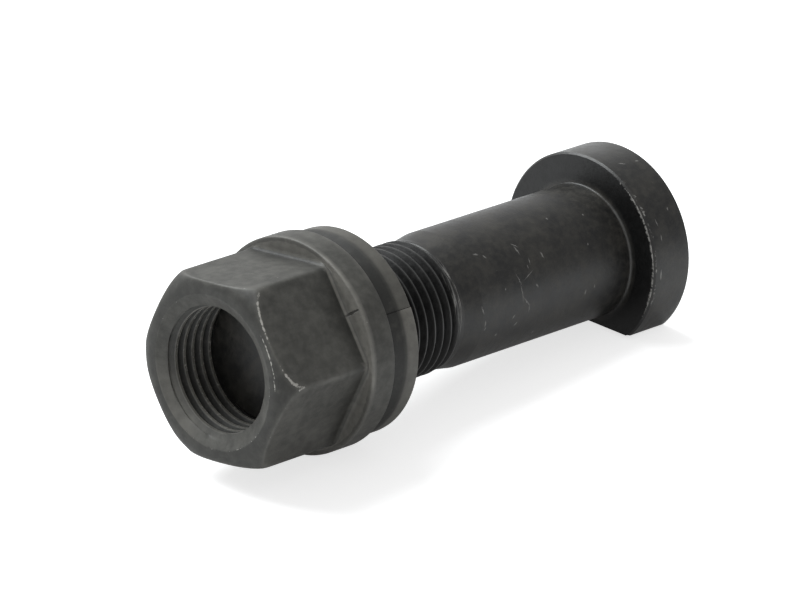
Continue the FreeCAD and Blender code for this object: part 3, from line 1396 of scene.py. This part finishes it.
@dataclass(frozen=True)
class NutWearAndLight:
    """Where the nut's coat is worn, and where highlight and shade are painted on it.

    Attributes:
        crown: Chipping along the crown's edge, all round and more in two places.
        crown_rub: Rubbing along the same edge.
        crown_fade: Length over which the edge's wear ends behind the crown.
        crown_grime: Deposit on the crown.
        grime_reach: How far inside the flats' reach that deposit is full.
        glint: A thin line of chips on the crown.
        glint_radius: Radius of that line.
        corner: Chipping along the corners.
        smear: Rubbing of one corner.
        smear_depth: How far behind the face it is rubbed most.
        seam: Painted highlight along the fillets that the flats run out in.
        seam_rise: Shares of the fillet between which that highlight sets in.
        seam_fall: Shares between which it ends.
        foot: Painted shade at the foot of a flat's fillet.
        foot_rise: Shares of the fillet between which it sets in.
        foot_fall: Shares between which it ends.
        flat_end_darkening: How much darker a flat is made before its fillet.
        dull_length: How far before the flat's end it sets in.
        dull_end: Share of the fillet at which it ends.
        mouth: Chipping round the mouth's edge.
        face_grime: Deposit on the face.
        lens_rub_and_light: Rubbing and painted light that lighten the collar's front.
        lens_from: Share of the fillet from which that lightening sets in.
        rim: How much more the collar's front is rubbed near its rim.
        rim_radii: Radii between which that sets in.
        streak: A bright streak on the collar's front.
        streak_radius: Its radius.
        edge: Rubbing of the collar's front edge.
        edge_radii: Radii between which that sets in.
        edge_length: How far it reaches along the collar.
        back: Rubbing of the collar's back edge.
        back_margin: How far inside the collar's radius it ends.
        crest_reach: How far from its top a crest of the inner thread is worn.
        crest_highlight: Painted highlight on these crests.
        crest_chip_and_glint: Their chipping, which also paints glints on them.
        thread_shade: Painted shade in the inner thread's grooves.
        inner: Depths between which the inner thread's wear sets in.
        sink: Rubbing and painted reflection on one side of the countersink.
    """

    crown: tuple[WornAndLit, ...] = (
        WornAndLit(0.48, 0.3),
        WornAndLit(0.42, 0.3, Sector(20.0, 56.0)),
        WornAndLit(0.42, 0.3, Sector(68.0, 86.0, 6.0)),
    )
    crown_rub: WornAndLit = WornAndLit(0.2, 0.4)
    crown_fade: float = 1.0
    crown_grime: float = 0.5
    grime_reach: float = 0.3
    glint: WornAndLit = WornAndLit(0.9, 0.18, Sector(40.0, 92.0))
    glint_radius: float = 11.25
    corner: WornAndLit = WornAndLit(0.2, 0.2)
    smear: WornAndLit = WornAndLit(0.35, 2.5, Sector(76.0, 90.0, 6.0))
    smear_depth: float = 7.5
    seam: WornAndLit = WornAndLit(0.6, sector=Sector(18.0, 90.0, 8.0))
    seam_rise: Span = (0.0, 0.3)
    seam_fall: Span = (0.5, 0.9)
    foot: WornAndLit = WornAndLit(0.95, sector=Sector(-50.0, 18.0, 8.0))
    foot_rise: Span = (0.0, 0.08)
    foot_fall: Span = (0.7, 0.98)
    flat_end_darkening: float = 0.5
    dull_length: float = 4.0
    dull_end: float = 0.2
    mouth: WornAndLit = WornAndLit(0.8, 0.15)
    face_grime: float = 0.5
    lens_rub_and_light: float = 0.6
    lens_from: float = 0.75
    rim: tuple[WornAndLit, ...] = (WornAndLit(0.1), WornAndLit(0.25, sector=RIGHT_SIDE))
    rim_radii: Span = (12.7, 13.5)
    streak: WornAndLit = WornAndLit(0.5, 0.35, Sector(36.0, 50.0, 5.0))
    streak_radius: float = 13.7
    edge: tuple[WornAndLit, ...] = (WornAndLit(0.3), WornAndLit(0.6, sector=RIGHT_SIDE))
    edge_radii: Span = (13.4, 13.9)
    edge_length: float = 0.3
    back: WornAndLit = WornAndLit(0.6, 0.25, Sector(0.0, 45.0))
    back_margin: float = 0.2
    crest_reach: float = 0.05
    crest_highlight: float = 0.7
    crest_chip_and_glint: float = 0.6
    thread_shade: float = 0.75
    inner: Span = (0.6, 2.0)
    sink: WornAndLit = WornAndLit(0.4, sector=Sector(-176.0, -90.0, 25.0))


@dataclass
class Nut(Assembly):
    """The forged hexagon nut with its collar and countersunk mouth.

    Attributes:
        helix: The thread.
        front: Station of the face.
        height: Length from the face to the collar's back.
        flat_distance: Distance of the flats from the axis.
        flat_turn: Angle of the flat that lies on top.
        sides: Number of flats.
        corner_radius: Radius of the corners.
        hex_length: Length of the hexagon.
        face_radius: Radius at which the crown leaves the face.
        crown: Radius of the crown's section.
        crown_rows: Spans of rows over the crown, close together at its edge.
        flat_rows: Spans of rows along the flats, close together in the fillets.
        flat_fillet: Radius of the fillet between a flat and the collar.
        soft_edge: Reach of the rounding of the hexagon's edges.
        collar_radius: Radius of the collar.
        edge_rounding: Rounding of the collar's edges.
        shelf_step: How far outside the corners the collar's own profile begins.
        face_rows: Rows of points on the face.
        shelf_rows: Rows of points on the collar's front.
        sink_radius: Radius of the countersink at the face.
        sink_slope: Fall of the countersink's radius along the axis.
        bore_radius: Radius of the inner thread's crests.
        clearance: Room between the stud's crests and the inner thread's roots.
        groove_radius: Radius of the inner thread's roots.
        back_sink_radius: Radius of the small countersink at the back.
        wear: The nut's wear, and its painted highlights and shade.
    """

    piece: ClassVar[Piece] = Piece.NUT
    body: ClassVar[str] = "nut"
    coat: ClassVar[Slot] = Slot.GREY_PHOSPHATE

    helix: Helix = Helix()
    front: float = -8.0
    height: float = 18.5
    flat_distance: float = 12.0
    flat_turn: float = math.radians(-7.26)
    sides: int = 6
    corner_radius: float = 13.8
    hex_length: float = 14.4
    face_radius: float = 10.9
    crown: float = 2.95
    crown_rows: tuple[tuple[float, float, int], ...] = ((0.0, 0.7, 8), (0.76, 1.24, 13), (1.4, 2.0, 4))
    flat_rows: tuple[tuple[float, float, int], ...] = ((0.0, 0.93, 12), (0.945, 1.0, 12))
    flat_fillet: float = 0.6
    soft_edge: float = 0.25
    collar_radius: float = 14.5
    edge_rounding: float = 0.25
    shelf_step: float = 0.1
    face_rows: int = 5
    shelf_rows: int = 9
    sink_radius: float = 10.25
    sink_slope: float = math.tan(math.radians(60.0))
    bore_radius: float = 8.25
    clearance: float = 0.05
    groove_radius: float = Stud.thread_radius + clearance
    back_sink_radius: float = 9.4
    wear: NutWearAndLight = NutWearAndLight()

    def finish(self) -> Phosphate:
        """Chooses dark grey phosphate with a nick in the collar."""
        return Phosphate("grey phosphate", nick=Nick(52.0))

    def lean(self, angle: np.ndarray) -> np.ndarray:
        """Gives the cosine of each column's angle from the middle of the nearest flat.

        Args:
            angle: The columns' angles.

        Returns:
            The cosines.
        """
        side = 2 * math.pi / self.sides
        turns = (angle - self.flat_turn) / side
        return np.cos((turns - np.round(turns)) * side)

    def depths(self, lean: np.ndarray) -> np.ndarray:
        """Spaces the hexagon's rows from the face to the collar.

        In each column the crown reaches the hexagon's radius at the depth that a quarter circle has there.
        The rows' squared shares of that depth crowd round the crown's edge, and the rest goes to the flats.

        Args:
            lean: The columns' cosines from the middle of a flat.

        Returns:
            The depths behind the face.
        """
        plain = soft_min(self.flat_distance / lean, self.corner_radius, self.soft_edge)
        crown_end = self.crown - np.sqrt(self.crown**2 - (plain - self.face_radius) ** 2)
        near_face = row_shares(*self.crown_rows) ** 2 * crown_end
        start = near_face[-1:]
        return np.vstack([near_face, start + (self.hex_length - start) * row_shares(*self.flat_rows)[1:]])

    def hexagon(self, angle: np.ndarray) -> Grid:
        """Shapes the flats, their corners and the crowned edge of the face.

        A flat is a plane whose distance grows along a quarter circle where it runs into the collar. Its
        radius in a column is that distance over the cosine of the angle from the flat's middle. It is kept
        inside the corners' cylinder and inside the crown, which is a quarter circle that leaves the face
        level and ends along the axis.

        Args:
            angle: The columns' angles.

        Returns:
            The hexagon from the face's edge to the collar.
        """
        wear, lean = self.wear, self.lean(angle)
        depth = self.depths(lean)
        fillet_start = self.hex_length - self.flat_fillet
        into = np.clip((depth - self.hex_length + self.flat_fillet) / self.flat_fillet, 0.0, 1.0)
        plane = (self.flat_distance + self.flat_fillet * (1 - np.sqrt(1 - into**2))) / lean
        flats = soft_min(plane, self.corner_radius, self.soft_edge)
        left = self.crown - np.minimum(depth, self.crown)
        crowned = self.face_radius + np.sqrt(self.crown**2 - left**2)
        radius = soft_min(flats, crowned, self.soft_edge)
        radius[0] = self.face_radius

        in_front = 1 - smooth(depth, self.crown, self.crown + wear.crown_fade)
        on_crown = in_front * sum(worn.along(flats, crowned, angle) for worn in wear.crown)
        glint = wear.glint.along(radius, wear.glint_radius, angle)
        chip = np.maximum(on_crown, wear.corner.along(plane, self.corner_radius, angle))

        at_corner = near(plane, self.corner_radius, wear.corner.reach)
        # The fillets of the right-hand flats get a painted highlight line.
        rub_and_highlight = hump(into, wear.seam_rise, wear.seam_fall) * wear.seam.at(angle)
        rub_and_highlight = rub_and_highlight + in_front * wear.crown_rub.along(flats, crowned, angle)
        rub_and_highlight = rub_and_highlight + at_corner * wear.smear.along(depth, wear.smear_depth, angle)
        # The flats' ends are lightened by rubbing and painted light.
        rub_and_highlight = rub_and_highlight + wear.lens_rub_and_light * smooth(into, wear.lens_from, 1.0)

        # Each flat is darker over its last stretch before the fillet.
        dull = smooth(depth, self.hex_length - wear.dull_length, fillet_start)
        dull = wear.flat_end_darkening * dull * (1 - smooth(into, 0.0, wear.dull_end))
        on_face = wear.crown_grime * smooth(flats - crowned, 0.0, wear.grime_reach)
        # The top flats' fillets get painted shade at their foot.
        foot = hump(into, wear.foot_rise, wear.foot_fall) * wear.foot.at(angle)
        grime_and_shade = np.maximum(np.maximum(dull, on_face), foot)
        return Grid.of(self.front + depth, angle, radius, rub_and_highlight, np.maximum(chip, glint), grime_and_shade)

    def outside(self, angle: np.ndarray) -> list[Grid]:
        """Shapes the face, the hexagon and the collar.

        The collar's front runs straight out from the hexagon's last row to the collar's turned profile.

        Args:
            angle: The columns' angles.

        Returns:
            The outside from the mouth's edge to the back of the collar.
        """
        wear, hexagon = self.wear, self.hexagon(angle)
        land = np.linspace(self.sink_radius, self.face_radius, self.face_rows)[:, None]
        mouth = wear.mouth.along(land, self.sink_radius, angle)
        face = Grid.of(self.front, angle, land, chip=mouth, grime_and_shade=wear.face_grime)
        start, end = self.front + self.hex_length, self.front + self.height
        station, reach, chip = turned(
            [
                Corner(start, self.corner_radius + self.shelf_step),
                Corner(start, self.collar_radius, self.edge_rounding, chip=0.3),
                Corner(end, self.collar_radius, self.edge_rounding, chip=0.2),
                Corner(end, self.back_sink_radius),
            ]
        )
        share = np.linspace(0.0, 1.0, self.shelf_rows)[:, None]
        shelf_radius = hexagon.radius[-1:] * (1 - share) + reach[0] * share
        rim = smooth(shelf_radius, *wear.rim_radii) * sum(worn.at(angle) for worn in wear.rim)
        streak = wear.streak.along(shelf_radius, wear.streak_radius, angle)
        # The collar's front is lightened by rubbing and painted light, and rubbed more near its rim.
        shelf = Grid.of(start, angle, shelf_radius, wear.lens_rub_and_light + rim, streak)
        front_edge = smooth(reach, *wear.edge_radii) * (station < start + wear.edge_length)
        back_edge = wear.back.along(station, end, angle) * (reach > self.collar_radius - wear.back_margin)
        band_lightening = front_edge * sum(worn.at(angle) for worn in wear.edge) + back_edge
        return [face, hexagon, shelf, Grid.of(station, angle, reach, band_lightening, chip)]

    def inside(self, angle: np.ndarray) -> Grid:
        """Shapes the countersunk mouth and the thread that holds the stud.

        The radius is the largest of the thread's grooves, its bore and the two countersinks.

        Args:
            angle: The columns' angles.

        Returns:
            The inside from the mouth's edge to the back.
        """
        wear, end = self.wear, self.front + self.height
        station = self.helix.rows(self.front, end, angle)
        groove = np.maximum(self.helix.flank(self.groove_radius, station, angle), self.bore_radius)
        mouth = self.sink_radius - (station - self.front) * self.sink_slope
        back = self.back_sink_radius - (end - station)
        radius = np.maximum(np.maximum(groove, mouth), back)
        crest = near(groove, self.bore_radius, wear.crest_reach) * (radius <= groove)
        inner = smooth(station - self.front, *wear.inner)
        # One side of the countersink is lightened by rubbing and painted reflection, and the crests get
        # painted highlights.
        rub_and_highlight = (1 - inner) * wear.sink.at(angle) + wear.crest_highlight * crest * inner
        # The grooves between the crests get painted shade.
        grime_and_shade = wear.thread_shade * (1 - crest) * inner
        return Grid.of(station, angle, radius, rub_and_highlight, wear.crest_chip_and_glint * crest * inner, grime_and_shade)

    def grids(self) -> list[Grid]:
        """Shapes the outside and the inside."""
        angle = full_turn(self.columns)
        return [*self.outside(angle[None, :]), self.inside(angle)]


@dataclass
class Ring(Assembly):
    """The split spring ring between the nut and the wheel.

    Attributes:
        gap: Room between the nut's collar and the ring.
        front: Station of the ring's front.
        bore_radius: Radius of the bore.
        front_radius: Radius of the front edge.
        rim_radius: Radius of the rim.
        taper: Length of the taper from the front edge to the rim.
        taper_rounding: Rounding at the taper's end.
        rim_height: Height of the rim's back edge over the front.
        edge_rounding: Rounding of the edges.
        seat_edge_radius: Radius at which the ball seat begins.
        seat_radius: Radius of the seat's sphere.
        seat_rows: Rows of points on the seat.
        bore_rows: Rows of points in the bore.
        slit_turn: Angle of the slit.
        slit_half_width: Half of the slit's width.
        end_step: How far the end above the slit has sprung inwards.
        step_reach: Angle over which that fades, by a factor of about three.
        step_margin: How far outside the bore the ring begins to follow the sprung end.
        band: Stations between which the rim's lighter band sets in.
        band_lightening: How much lighter the band is.
        slit_highlight: How much more the band is lightened below the slit, a painted highlight on the end
            that stands out.
        slit_reach: Angle over which that fades, by a factor of about three.
        grime_and_shade: Painted shade everywhere off the band, which darkens the taper next to the collar.
    """

    piece: ClassVar[Piece] = Piece.RING
    body: ClassVar[str] = "ring"
    coat: ClassVar[Slot] = Slot.RING_PHOSPHATE

    gap: float = 0.02
    front: float = Nut.front + Nut.height + gap
    bore_radius: float = 9.6
    front_radius: float = 13.3
    rim_radius: float = 13.85
    taper: float = 2.8
    taper_rounding: float = 0.4
    rim_height: float = 5.1
    edge_rounding: float = 0.3
    seat_edge_radius: float = 13.4
    seat_radius: float = 22.0
    seat_rows: int = 14
    bore_rows: int = 9
    slit_turn: float = math.radians(59.0)
    slit_half_width: float = 0.035
    end_step: float = 0.12
    step_reach: float = 0.4
    step_margin: float = 0.5
    band: Span = (13.0, 13.9)
    band_lightening: float = 0.4
    slit_highlight: float = 0.55
    slit_reach: float = 0.5
    grime_and_shade: float = 0.85

    def finish(self) -> Phosphate:
        """Chooses the same phosphate as the nut's, a little darker."""
        return Phosphate("ring phosphate", light=(0.060, 0.058, 0.050), rubbed=(0.180, 0.172, 0.152))

    def profile(self) -> tuple[np.ndarray, np.ndarray, np.ndarray]:
        """Runs from the bore over the front, the rim and the ball seat back through the bore.

        The seat is part of a sphere about a point of the axis, so it lies beyond its edge by the difference
        of the sphere's heights at the two radii.

        Returns:
            The profile's stations, radii and chipping.
        """
        back = self.front + self.rim_height
        station, radius, chip = turned(
            [
                Corner(self.front, self.bore_radius),
                Corner(self.front, self.front_radius, self.edge_rounding),
                Corner(self.front + self.taper, self.rim_radius, self.taper_rounding),
                Corner(back, self.rim_radius, self.edge_rounding, chip=0.4),
                Corner(back, self.seat_edge_radius),
            ]
        )
        seat = np.linspace(self.seat_edge_radius, self.bore_radius, self.seat_rows)[1:, None]
        edge_height = math.sqrt(self.seat_radius**2 - self.seat_edge_radius**2)
        seat_station = back + np.sqrt(self.seat_radius**2 - seat**2) - edge_height
        share = np.linspace(1.0, 0.0, self.bore_rows)[1:, None]
        bore_station = self.front + (seat_station[-1] - self.front) * share
        bore = np.full_like(share, self.bore_radius)
        stations = np.vstack([station, seat_station, bore_station])
        radii = np.vstack([radius, seat, bore])
        return stations, radii, np.vstack([chip, 0.0 * seat, 0.0 * share])

    def grids(self) -> list[Grid]:
        """Shapes the ring as an open band, whose two ends are filled when it is welded.

        The end above the slit has sprung inwards, by a step that fades exponentially along the ring.

        Returns:
            The band.
        """
        station, radius, chip = self.profile()
        half = self.slit_half_width / self.rim_radius
        turn = np.linspace(half, 2 * math.pi - half, self.columns + 1)[None, :]
        sprung = self.end_step * np.exp((turn - 2 * math.pi) / self.step_reach)
        held = radius - sprung * smooth(radius, self.bore_radius + self.step_margin, self.front_radius)
        on_band = smooth(station, *self.band) * (radius > self.front_radius)
        # The band is lighter, with a painted highlight below the slit.
        rub_and_highlight = on_band * (self.band_lightening + self.slit_highlight * np.exp(-turn / self.slit_reach))
        # Painted shade everywhere off the band, seen on the taper next to the collar.
        return [Grid.of(station, self.slit_turn + turn, held, rub_and_highlight, chip, self.grime_and_shade * (1 - on_band))]


@dataclass(frozen=True)
class Lamp:
    """A square lamp that faces the bolt.

    Attributes:
        name: The lamp's name.
        place: Its place, in metres.
        size: Its side, in metres.
        power: Its power, in watts.
        tint: Its colour.
    """

    name: str
    place: Triple
    size: float
    power: float
    tint: Triple = (0.95, 0.985, 1.0)

    def build(self) -> None:
        """Hangs the lamp."""
        data = bpy.data.lights.new(self.name, "AREA")
        data.size, data.energy, data.color = self.size, self.power, self.tint
        made = bpy.data.objects.new(self.name, data)
        made.location = self.place
        made.rotation_euler = (-Vector(self.place)).to_track_quat("-Z", "Y").to_euler()
        bpy.context.scene.collection.objects.link(made)


@dataclass(frozen=True)
class DimSide:
    """A side on which the room is dim.

    Attributes:
        direction: The direction of the side's middle.
        share: The share of the light that is missing there.
        span: Cosines from the middle between which the dimming sets in.
    """

    direction: Triple
    share: float
    span: Span = (0.1, 0.95)


@dataclass
class Studio:
    """The floor, the lamp, the white room and the camera.

    Attributes:
        axis: The bolt's axis.
        stand: The camera's place from the middle of the nut's face, in millimetres.
        azimuth: The camera's azimuth, in degrees.
        elevation: The camera's elevation, in degrees.
        lens: Focal length.
        picture_width: Width of the picture that the focal length is for.
        sight: Nearest and farthest distance that the camera sees, in metres.
        floor_size: Side of the floor, in metres.
        floor_grey: The floor's own lightness.
        floor_lift: Light that the floor gives to the camera, to look white.
        floor_sheen: Light that it gives to reflections.
        floor_glow: Light that it gives to all.
        lamp: The lamp.
        room_light: How strongly the white room lights the scene.
        dim_sides: The sides on which the room is dim.
    """

    axis: Axis
    stand: Triple = (-517.16, -532.58, 366.56)
    azimuth: float = -46.0
    elevation: float = 25.65
    lens: float = 293.43
    picture_width: float = 36.0
    sight: Span = (0.01, 20.0)
    floor_size: float = 3.0
    floor_grey: float = 0.70
    floor_lift: float = 0.60
    floor_sheen: float = 0.05
    floor_glow: float = 0.10
    lamp: Lamp = Lamp("top lamp", (-0.15, 0.6, 0.9), 0.9, 17.0)
    room_light: float = 0.80
    dim_sides: tuple[DimSide, ...] = (DimSide((0.73, -0.53, 0.44), 0.50), DimSide((-0.94, 0.20, 0.27), 0.45))

    def floor(self) -> None:
        """Lays a plain white floor that keeps the bolt's shadow."""
        half = self.floor_size / 2
        corners = [(-half, -half, 0), (half, -half, 0), (half, half, 0), (-half, half, 0)]
        mesh = bpy.data.meshes.new("floor")
        mesh.from_pydata(corners, [], [(0, 1, 2, 3)])
        floor = bpy.data.objects.new("floor", mesh)
        bpy.context.scene.collection.objects.link(floor)
        paint = Paint("white floor", self.axis)
        path = paint.node("ShaderNodeLightPath")
        seen, mirrored = paint.value(path, "Is Camera Ray"), paint.value(path, "Is Glossy Ray")
        light = seen * self.floor_lift + mirrored * self.floor_sheen + self.floor_glow
        lift = paint.node("ShaderNodeEmission", Strength=light)
        white = paint.node("ShaderNodeBsdfDiffuse", Color=(*(self.floor_grey,) * 3, 1.0))
        both = paint.node("ShaderNodeAddShader", None, white.outputs[0], lift.outputs[0])
        paint.node("ShaderNodeOutputMaterial", Surface=both.outputs[0])
        mesh.materials.append(paint.material)

    def world(self) -> None:
        """Surrounds the scene with white, which is dim on some sides for all but the camera."""
        world = bpy.data.worlds.new("white room")
        bpy.context.scene.world = world
        world.use_nodes = True
        nodes = Nodes(world.node_tree)
        path = nodes.node("ShaderNodeLightPath")
        mirrored = nodes.value(path, "Is Glossy Ray").most(nodes.value(path, "Is Transmission Ray"))
        room = mirrored * (1 - self.room_light) + self.room_light
        place = nodes.node("ShaderNodeTexCoord").outputs["Generated"]
        for side in self.dim_sides:
            room = room * (1.0 - nodes.towards(place, side.direction).rise(*side.span) * side.share)
        strength = room.most(nodes.value(path, "Is Camera Ray"))
        back = nodes.node("ShaderNodeBackground", Strength=strength)
        nodes.node("ShaderNodeOutputWorld", Surface=back.outputs[0])

    def camera(self) -> None:
        """Sets the camera as the photograph was taken."""
        turn, rise = math.radians(self.azimuth), math.radians(self.elevation)
        ahead = Vector((-math.sin(turn) * math.cos(rise), math.cos(turn) * math.cos(rise), -math.sin(rise)))
        data = bpy.data.cameras.new("camera")
        data.sensor_width, data.lens = self.picture_width, self.lens
        data.clip_start, data.clip_end = self.sight
        made = bpy.data.objects.new("camera", data)
        made.location = Vector(self.axis.origin + MM * (Nut.front * self.axis.along + np.array(self.stand)))
        made.rotation_euler = ahead.to_track_quat("-Z", "Y").to_euler()
        bpy.context.scene.collection.objects.link(made)
        bpy.context.scene.camera = made

    def build(self) -> None:
        """Sets up the studio."""
        bpy.context.scene.view_settings.view_transform = "Standard"
        self.floor()
        self.world()
        self.lamp.build()
        self.camera()
        log.info("studio ready")


def main() -> None:
    """Builds the bolt in its studio."""
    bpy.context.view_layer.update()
    axis = Axis.of_joint(next(joint for joint in frame["joints"] if joint["name"] == HINGE))
    for piece in (Stud(axis), Nut(axis), Ring(axis)):
        piece.build()
    Studio(axis).build()


if __name__ == "__main__":
    logging.basicConfig(level=logging.INFO)
    main()
